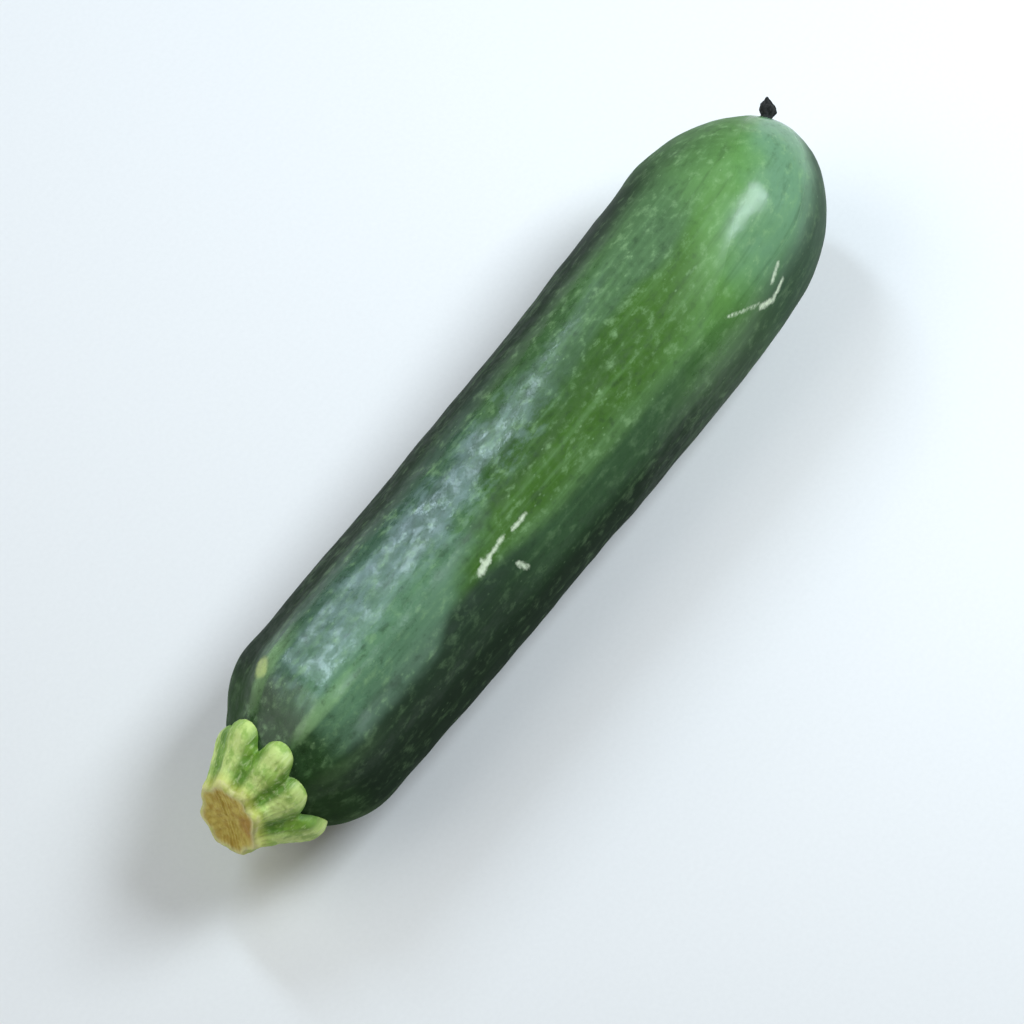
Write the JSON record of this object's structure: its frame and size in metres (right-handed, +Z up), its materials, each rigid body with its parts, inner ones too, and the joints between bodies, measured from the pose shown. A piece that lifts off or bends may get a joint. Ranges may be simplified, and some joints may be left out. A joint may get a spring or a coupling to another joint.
{
  "type": "courgette",
  "caption": "Whole green courgette lying on its side, with a ridged cut stem at one end and a dried flower remnant at the other.",
  "frame": {"origin": "under the middle of the courgette's box, on the surface that it rests on", "axes": "+X from the stem to the blossom end, +Y to the side that the blossom end hooks towards, +Z up"},
  "size_m": [0.2182, 0.0496, 0.0501],
  "materials": {
    "skin": "waxy courgette skin, dark green at the stem and lighter at the blossom end, with fine pale flecks",
    "stem": "pale yellow-green stalk tissue, ridged and slightly hairy, ochre where it is cut",
    "dried_flower": "dried, almost black flower tissue"
  },
  "bodies": {
    "root": {"fruit": "skin", "stem": "stem", "flower_remnant": "dried_flower"}
  },
  "joints": []
}
